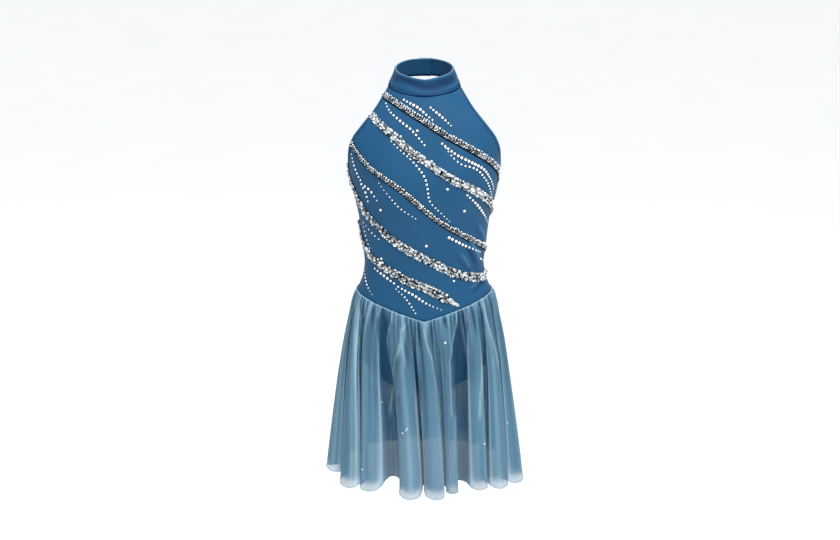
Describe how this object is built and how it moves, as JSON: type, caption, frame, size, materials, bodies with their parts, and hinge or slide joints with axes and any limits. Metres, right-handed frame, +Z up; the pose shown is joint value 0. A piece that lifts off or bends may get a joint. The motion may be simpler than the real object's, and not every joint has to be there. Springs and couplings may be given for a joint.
{
  "type": "lyrical dance dress",
  "caption": "Halter leotard dress with a stand collar, low back, pointed waist and short gathered sheer mesh skirt, in its worn hollow shape.",
  "frame": {"origin": "centre of the neck, on the level of the sides of the collar's lower seam, where the wearer's neck holds the dress", "axes": "+Z up along the body, -Y towards the front of the dress, +X to the wearer's left"},
  "size_m": [0.4106, 0.3387, 0.8659],
  "materials": {
    "stretch_jersey": "blue nylon and elastane jersey, matt with a soft sheen",
    "sheer_mesh": "pale blue soft stretch mesh, see-through, with a narrow rolled hem",
    "button_pearl": "pearly moulded resin",
    "sequin_silver": "silver film sequins, bright and slightly cupped",
    "rhinestone": "clear foiled flat-back crystal, cut with facets",
    "sewing_thread": "blue polyester thread"
  },
  "bodies": {
    "root": {"collar": "stretch_jersey", "collar_button_upper": "button_pearl", "collar_button_lower": "button_pearl", "front_bodice": "stretch_jersey", "back_bodice": "stretch_jersey", "front_brief": "stretch_jersey", "back_brief": "stretch_jersey", "front_skirt": "sheer_mesh", "back_skirt": "sheer_mesh"}
  },
  "joints": []
}
